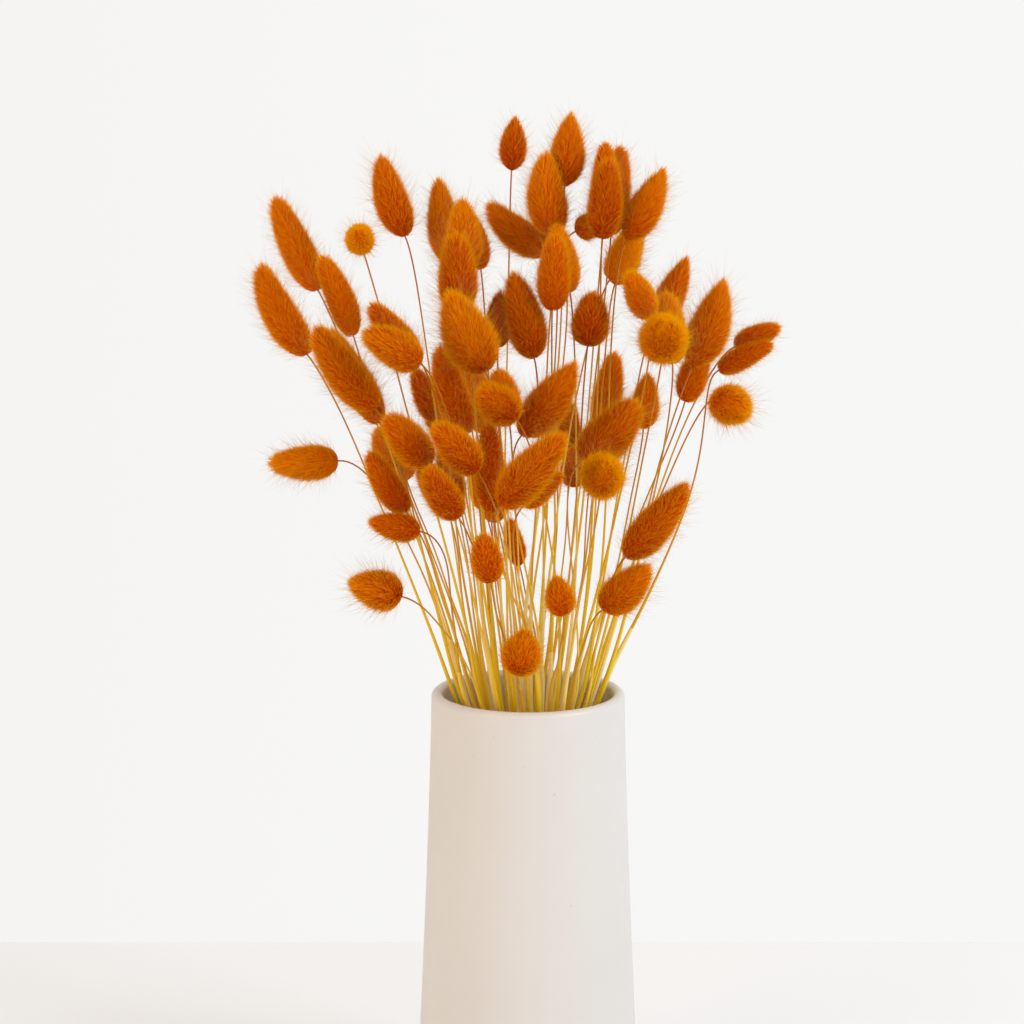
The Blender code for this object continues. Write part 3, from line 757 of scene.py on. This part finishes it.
def tail_material():
    """Dyed fur, partly painted light: shade at the roots, glow at the tips. Across its map lie the tints, and
    past them the awns, and up it lies a hair root to tip.
    """
    material = bpy.data.materials.new("tail_fur")
    nodes = Nodes(material, FUR_FINISH)
    tint, height = nodes.map_place()
    fur = nodes.across(tint, height, HAIR_SHARES, DARK_FUR, FUR_CHANGES)
    awn = nodes.ramp(height, AWN_SHARES, AWN_COLOURS)
    colour = nodes.mix(nodes.remap(tint, *AWN_EDGE), fur, awn)
    nodes.feed(colour, nodes.shader.inputs["Base Color"])
    nodes.let_through(nodes.mix(THROUGH_SHARE, colour, (*THROUGH_COLOUR, 1)), SHINE_THROUGH)
    return material


def stem_material():
    """Dried grass. Across its map lie pale, golden and brown stems, and up it the foot to the head."""
    material = bpy.data.materials.new("dried_stem")
    nodes = Nodes(material, STEM_FINISH)
    tint, height = nodes.map_place()
    colour = nodes.across(tint, height, STEM_SHARES, PALE_STEM, STEM_CHANGES)
    nodes.feed(colour, nodes.shader.inputs["Base Color"])
    return material


def vase_material():
    """A matt off-white glaze with soft mottling, faint specks and a slightly uneven skin."""
    material = bpy.data.materials.new("vase_glaze")
    nodes = Nodes(material, {})
    place = nodes.add("ShaderNodeTexCoord").outputs["Object"]
    mottle = nodes.ramp(nodes.noise(place, *MOTTLE_NOISE), MOTTLE_LEVELS, MOTTLE_COLOURS)
    specks = nodes.remap(nodes.noise(place, *SPECK_NOISE), *SPECK_LEVELS)
    nodes.feed(nodes.mix(specks, mottle, (*SPECK_COLOUR, 1)), nodes.shader.inputs["Base Color"])
    gloss = nodes.remap(nodes.noise(place, *GLOSS_NOISE), *GLOSS_LEVELS, *GLAZE_ROUGHNESS)
    nodes.feed(gloss, nodes.shader.inputs["Roughness"])
    nodes.bump(nodes.noise(place, *SKIN_NOISE), SKIN_STRENGTH, SKIN_DEPTH)
    return material


def vase_radius(height):
    """The radius of the vase's outside at a height."""
    return RIM_RADIUS + FOOT_SPREAD * (1 - height / VASE_HEIGHT) ** FOOT_CURVE


def arc(middle, radius, first, last, steps):
    """Points on a round corner of the outline, from one angle to another."""
    turns = [first + (last - first) * step / steps for step in range(steps + 1)]
    return [(middle[0] + radius * math.cos(turn), middle[1] + radius * math.sin(turn)) for turn in turns]


def vase_profile():
    """The outline of the vase, from the middle of its foot over the lip to the middle of its floor."""
    lip = WALL / 2
    outline = [(0, 0), (FOOT_RING * vase_radius(0), 0)]
    corner = (vase_radius(0) - FOOT_BEVEL, FOOT_BEVEL)
    outline += arc(corner, FOOT_BEVEL, -math.pi / 2, 0, BEVEL_STEPS)
    for row in range(1, WALL_ROWS):
        height = FOOT_BEVEL + (VASE_HEIGHT - lip - FOOT_BEVEL) * row / WALL_ROWS
        outline.append((vase_radius(height), height))
    outline += arc((vase_radius(VASE_HEIGHT - lip) - lip, VASE_HEIGHT - lip), lip, 0, math.pi, LIP_STEPS)
    low = FLOOR + INNER_BEVEL
    for row in range(1, WALL_ROWS):
        height = VASE_HEIGHT - lip - (VASE_HEIGHT - lip - low) * row / WALL_ROWS
        outline.append((vase_radius(height) - WALL, height))
    corner = (vase_radius(FLOOR) - WALL - INNER_BEVEL, low)
    outline += arc(corner, INNER_BEVEL, 0, -math.pi / 2, BEVEL_STEPS)
    outline.append((0, FLOOR))
    return np.array(outline)


def make_vase():
    """The turned vase. Where two flats of its outline meet, the normal lies between theirs."""
    outline = vase_profile()
    steps = np.diff(outline, axis=0)
    lengths = np.linalg.norm(steps, axis=1)
    run = np.concatenate([[0], np.cumsum(lengths)])
    flats = np.stack([steps[:, 1], -steps[:, 0]], 1) / lengths[:, None]
    outward = unit(np.concatenate([flats[:1], flats[:-1] + flats[1:], flats[-1:]]))
    turns = np.linspace(0, math.tau, VASE_SIDES + 1)
    radial = np.stack([np.cos(turns), np.sin(turns), np.zeros_like(turns)], 1)
    upright = np.array([0, 0, 1])
    points = outline[:, None, 0, None] * radial + outline[:, None, 1, None] * upright
    normals = outward[:, None, 0, None] * radial + outward[:, None, 1, None] * upright
    places = np.stack(np.meshgrid(turns / math.tau, run / run[-1]), 2)
    facets = Facets()
    facets.add_grid(points, normals, places)
    facets.piece("vase_glazed", vase_material(), "vase", "vase")


def make_stem(facets, stalk, random):
    """A round stem from the vase's floor into its head, a little uneven, and on some a papery sheath."""
    straight = [stalk.foot.lerp(stalk.mouth, step / STRAIGHT_STEPS) for step in range(STRAIGHT_STEPS)]
    curved = [stalk.stem_point(step / CURVE_STEPS) for step in range(CURVE_STEPS + 1)]
    points = np.array(straight + curved + [stalk.base + stalk.axis * STEM_INTO_HEAD])
    run = np.concatenate([[0], np.cumsum(np.linalg.norm(np.diff(points, axis=0), axis=1))])
    share = run / run[-1]
    free = np.clip((run - run[STRAIGHT_STEPS]) / (run[-1] - run[STRAIGHT_STEPS]), 0, 1)
    along = unit(np.gradient(points, axis=0))
    side = unit(np.cross(along, np.array(NEVER_ALONG)))
    across = np.cross(along, side)
    phases = random.uniform(0, math.tau, len(STEM_WAVES))
    wander = STEM_WANDER * np.sin(math.pi * free)
    for wave, phase, way in zip(STEM_WAVES, phases, (side, across)):
        points = points + (wander * np.sin(wave * free + phase))[:, None] * way
    mouth_radius = random.uniform(*STEM_RADII)
    radii = STEM_TOP_RADIUS + (mouth_radius - STEM_TOP_RADIUS) * (1 - free) ** STEM_TAPER
    turns = np.linspace(0, math.tau, STEM_SIDES + 1)
    radial = np.cos(turns)[None, :, None] * side[:, None] + np.sin(turns)[None, :, None] * across[:, None]
    tint = random.beta(*STEM_TINTS)
    # Painted shade: a paler and a browner side round each stem.
    tints = np.clip(tint + STEM_SHADE_ROUND * np.cos(turns + phases[0]), *STEM_TINT_RANGE)
    places = np.stack(np.broadcast_arrays(tints[None, :], share[:, None]), 2)
    facets.add_grid(points[:, None] + radii[:, None, None] * radial, radial, places)
    if random.random() < SHEATH_SHARE:
        reach = random.uniform(*SHEATH_REACHES)
        rows = free <= reach
        radii = radii[rows] + SHEATH_WALL * np.sqrt(1 - free[rows] / reach)
        places = places[rows] * (0, 1) + (random.uniform(*SHEATH_TINTS), 0)
        facets.add_grid(points[rows][:, None] + radii[:, None, None] * radial[rows], radial[rows], places)


def make_stems(stalks):
    """All the stems, as one piece."""
    random = np.random.default_rng(STEM_SEED)
    facets = Facets()
    for stalk in stalks:
        make_stem(facets, stalk, random)
    facets.piece("stems_dried", stem_material(), "stems", "stems")


class Head:
    """The core under a tail's fur, which follows the bent line through the middle of the head."""

    def __init__(self, stalk, roll, random):
        self.axis = np.array(stalk.axis)
        self.side = np.array(stalk.axis.orthogonal().normalized())
        self.across = np.cross(self.axis, self.side)
        self.base = np.array(stalk.base)
        self.bend = np.array(stalk.bend)
        self.full_length = stalk.length
        self.length = stalk.length - TIP_TUFT
        self.radius = stalk.width / 2 * CORE_SHARE
        self.size = stalk.width / USUAL_WIDTH
        self.form = stalk.form
        self.roll = roll
        self.phases = random.uniform(0, math.tau, len(LUMPS))

    def radius_at(self, shares, turns):
        """How far the core reaches from its middle line, at shares of its length and turns round it."""
        lumps = 1
        for (round_it, along_it, height), phase in zip(LUMPS, self.phases):
            lumps = lumps + height * np.sin(round_it * turns + along_it * shares + phase)
        return self.radius * fullness(shares, self.form) * lumps

    def surface(self, shares, turns):
        """Points on the core, with the directions to its tip and out of it, and the radial one."""
        radial = np.cos(turns)[..., None] * self.side + np.sin(turns)[..., None] * self.across
        radii = self.radius_at(shares, turns)
        low, high = np.clip(shares - SLOPE_STEP, 0, 1), np.clip(shares + SLOPE_STEP, 0, 1)
        slope = self.radius_at(high, turns) - self.radius_at(low, turns)
        slope = (slope / ((high - low) * self.length))[..., None]
        run = (shares * self.length / self.full_length)[..., None]
        middle = self.base + self.axis * self.full_length * run + self.bend * 4 * run * (1 - run)
        points = middle + radial * radii[..., None]
        along = unit(self.axis * self.full_length + self.bend * 4 * (1 - 2 * run))
        return points, unit(along + slope * radial), unit(radial - slope * along), radial

    def spikelets(self):
        """Shares and turns of places that are spread evenly over the core."""
        shares = np.linspace(0, 1, AREA_POINTS)
        radii = self.radius * fullness(shares, self.form)
        steps = np.hypot(np.diff(radii), self.length * np.diff(shares))
        areas = np.concatenate([[0], np.cumsum(steps * (radii[:-1] + radii[1:]) * math.pi)])
        count = round(areas[-1] / SPIKELET_AREA)
        places = (np.arange(count) + 0.5) / count
        return np.interp(places, areas / areas[-1], shares), np.arange(count) * GOLDEN_ANGLE + self.roll


def add_ribbons(facets, roots, ways, curls, width, normals, rolls, tints, segments):
    """Hairs as pointed ribbons. Each runs its way from its root, and curls by the end."""
    flat = unit(np.cross(ways, normals))
    edge = np.cross(unit(ways), flat)
    flat = flat * np.cos(rolls)[:, None] + edge * np.sin(rolls)[:, None]
    rows, places = [], []
    for step in range(segments):
        share = step / segments
        middle = roots + ways * share + curls * share**2
        half = width * (1 - share) / 2 * flat
        breadth = HAIR_BREADTH * (1 - share)
        for side in (-1, 1):
            rows.append(middle + side * half)
            places.append(np.stack([tints + side * breadth, np.full_like(tints, share)], 1))
    rows.append(roots + ways + curls)
    places.append(np.stack([tints, np.ones_like(tints)], 1))
    each = 2 * segments + 1
    points = np.stack(rows, 1)
    pattern = []
    for step in range(segments - 1):
        low = 2 * step
        pattern += [(low, low + 1, low + 3), (low, low + 3, low + 2)]
    pattern.append((each - 3, each - 2, each - 1))
    corners = np.arange(len(roots))[:, None, None] * each + np.array(pattern)
    face = unit(np.cross(points[:, 1] - points[:, 0], points[:, -1] - points[:, 0]))
    inward = np.einsum("ij,ij->i", face, normals) < 0
    corners[inward] = corners[inward][:, :, ::-1]
    face[inward] *= -1
    all_normals = np.repeat(unit(face + NORMAL_BLEND * normals), each, axis=0)
    facets.add(points.reshape(-1, 3), all_normals, np.stack(places, 1).reshape(-1, 2), corners.reshape(-1, 3))


def add_fur(facets, head, shares, turns, tint, random, coat):
    """Hairs round each spikelet, which stand off the core and sweep towards its tip."""
    count, total = len(shares), len(shares) * coat.each

    def vary(middle, spreads, shift=0):
        """Numbers that differ from spikelet to spikelet, and then from hair to hair."""
        of_spikelets = np.repeat(random.normal(middle, spreads[0], count), coat.each)
        return of_spikelets + random.normal(shift, spreads[1], total)

    centres = np.repeat(head.surface(shares, turns)[0], coat.each, axis=0)
    lifts = vary(0, LIFT_SPREADS)
    leans = np.radians(vary(0, LEAN_SPREADS))[:, None]
    # Each coat's tint shift, partly painted light: glow on the outer coat and shade on the inner ones.
    tints = vary(tint, TINT_SPREADS, coat.glow)
    shares, turns = np.repeat(shares, coat.each), np.repeat(turns, coat.each)
    apart = SPIKELET_RADIUS * np.sqrt(random.random(total))
    bearing = random.uniform(0, math.tau, total)
    shares = np.clip(shares + apart * np.cos(bearing) / head.length, *ROOT_RANGE)
    turns = turns + apart * np.sin(bearing) / np.maximum(head.radius_at(shares, turns), LEAST_RADIUS)
    roots, along, out, _ = head.surface(shares, turns)
    near_tip = np.clip((shares - TIP_FROM) / (1 - TIP_FROM), 0, 1) ** TIP_CURVE
    tip_lift = np.interp(head.form, *TIP_LIFTS)
    lifts = np.radians(lifts + coat.lift + (tip_lift - coat.lift) * near_tip)[:, None]
    ways = along * np.cos(lifts) + out * np.sin(lifts) + np.cross(out, along) * np.tan(leans)
    ways = unit(ways + head.axis * (BASE_LEAN * np.exp(-shares / BASE_LEAN_REACH))[:, None])
    lengths = random.uniform(*coat.lengths, total) * head.size
    lengths = lengths * (LEAST_LENGTH + (1 - LEAST_LENGTH) * np.clip(shares / SHORT_REACH, 0, 1))
    ways = ways * lengths[:, None] - coat.clump * (roots - centres)
    # Painted light: the fur's colour brightens towards the head's base and tip.
    glow = PAINTED_END_GLOW * (np.exp(-shares / BASE_GLOW_REACH) + np.exp((shares - 1) / TIP_GLOW_REACH))
    tints = np.clip(tints + glow, *TINT_RANGE)
    rolls = np.radians(random.uniform(-HAIR_ROLL, HAIR_ROLL, total))
    curls = along * (HAIR_CURL * lengths)[:, None]
    add_ribbons(facets, roots, ways, curls, coat.width, out, rolls, tints, FUR_SEGMENTS)


def add_awns(facets, head, shares, turns, random):
    """Long fine bristles that stand far out of the fur."""
    count = len(shares)
    roots, _, out, radial = head.surface(shares, turns)
    sideways = np.cross(head.axis, radial)
    angles = AWN_ANGLES[0] + (AWN_ANGLES[1] - AWN_ANGLES[0]) * shares
    angles = np.radians(angles + random.normal(0, AWN_ANGLE_SPREAD, count))[:, None]
    ways = head.axis * np.cos(angles) + radial * np.sin(angles)
    ways = unit(ways + sideways * random.normal(0, AWN_LEAN_SPREAD, count)[:, None])
    ways = ways * (random.uniform(*AWN_LENGTHS, count) * head.size)[:, None]
    curls = head.axis * random.normal(*AWN_CURL, count)[:, None]
    curls = curls + sideways * random.normal(0, AWN_SIDE_CURL, count)[:, None]
    curls = curls * np.linalg.norm(ways, axis=1)[:, None]
    tints = random.uniform(*AWN_TINTS, count)
    rolls = random.uniform(0, math.pi, count)
    add_ribbons(facets, roots, ways, curls, AWN_WIDTH, out, rolls, tints, AWN_SEGMENTS)


def add_core(facets, head, tint):
    """The closed core, which shows between the hairs."""
    shares = np.linspace(0, 1, CORE_ROWS + 1)
    turns = np.linspace(0, math.tau, CORE_SIDES + 1)
    share_grid, turn_grid = np.meshgrid(shares, turns, indexing="ij")
    points, _, out, _ = head.surface(share_grid, turn_grid)
    tints = tint + CORE_BREADTH * turn_grid / math.tau
    places = np.stack([tints, np.full_like(tints, CORE_HEIGHT)], 2)
    facets.add_grid(points, out, places)


def add_tail(facets, stalk, number, tint):
    """A core with its fur and awns. The number of the tail seeds everything random about it."""
    random = np.random.default_rng(number)
    head = Head(stalk, number * GOLDEN_ANGLE, random)
    tint = tint + random.normal(0, TAIL_SPREAD)
    add_core(facets, head, tint)
    shares, turns = head.spikelets()
    for coat in COATS:
        add_fur(facets, head, shares, turns, tint, random, coat)
    chosen = random.random(len(shares)) < AWN_SHARE
    add_awns(facets, head, shares[chosen], turns[chosen], random)


def tail_tints():
    """For each node that isn't plain rust, the tints that its heads take in turn."""
    tints = {number: (tint,) for tint, numbers in TINTED.items() for number in numbers} | MIXED
    return {f"bunny_tail_{number:02d}": row for number, row in tints.items()}


def make_tails(stalks):
    """A piece for each node, with all of its heads."""
    material = tail_material()
    tints = tail_tints()
    tails = {}
    for number, stalk in enumerate(stalks):
        row = tints.get(stalk.node, (RUST,))
        index = [other.node for other in stalks[:number]].count(stalk.node)
        add_tail(tails.setdefault(stalk.node, Facets()), stalk, number, row[index % len(row)])
    for node, facets in tails.items():
        facets.piece(node + "_fur", material, "tails", node)


def make_table():
    """The pale table top, whose far edge shows low behind the vase."""
    xs, ys, zs = (-TABLE_HALF, TABLE_HALF), (TABLE_NEAR, TABLE_FAR), (-TABLE_THICK, 0)
    corners = [(x, y, z) for z in zs for y in ys for x in xs]
    # Its underside, top, near, far, left and right sides
    faces = [(0, 2, 3, 1), (4, 5, 7, 6), (0, 1, 5, 4), (2, 6, 7, 3), (0, 4, 6, 2), (1, 3, 7, 5)]
    mesh = bpy.data.meshes.new("table")
    mesh.from_pydata(corners, [], faces)
    material = bpy.data.materials.new("table_top")
    nodes = Nodes(material, TABLE_FINISH)
    place = nodes.add("ShaderNodeTexCoord").outputs["Object"]
    colour = nodes.ramp(nodes.noise(place, *TABLE_NOISE), TABLE_LEVELS, TABLE_COLOURS)
    nodes.feed(colour, nodes.shader.inputs["Base Color"])
    mesh.materials.append(material)
    table = bpy.data.objects.new("table", mesh)
    bpy.context.collection.objects.link(table)


def make_room():
    """An even, nearly white room, a little warmer and darker to the left."""
    world = bpy.data.worlds.new("studio")
    bpy.context.scene.world = world
    nodes = Nodes(world, {}, "Background")
    to_right, _ = nodes.split(nodes.add("ShaderNodeTexCoord").outputs["Generated"])
    share = nodes.remap(to_right, -1, 1, steps="LINEAR")
    nodes.feed(nodes.ramp(share, ROOM_SHARES, ROOM_COLOURS), nodes.shader.inputs["Color"])


def make_light(name, place, breadth, power, colour):
    """A round, soft light that points at the bunch."""
    data = bpy.data.lights.new(name, "AREA")
    data.shape = "DISK"
    data.size = breadth
    data.energy = power
    data.color = colour
    light = bpy.data.objects.new(name, data)
    light.location = place
    light.rotation_euler = (LIT_POINT - light.location).to_track_quat("-Z", "Y").to_euler()
    bpy.context.collection.objects.link(light)


def make_camera():
    """The camera, which sees the bunch from where the photograph does."""
    data = bpy.data.cameras.new("camera")
    data.sensor_width = SENSOR
    data.lens = FOCAL_LENGTH * SENSOR / PHOTO_WIDTH
    data.clip_end = FARTHEST_SEEN
    camera = bpy.data.objects.new("camera", data)
    camera.location = EYE
    camera.rotation_euler = (math.pi / 2 - LOOKS_DOWN, 0, 0)
    bpy.context.collection.objects.link(camera)
    bpy.context.scene.camera = camera


def main():
    """Makes everything."""
    make_camera()
    make_room()
    for name, settings in LIGHTS.items():
        make_light(name, *settings)
    make_table()
    stalks = make_stalks()
    make_vase()
    make_stems(stalks)
    make_tails(stalks)
    bpy.context.scene.view_settings.view_transform = "Standard"


main()
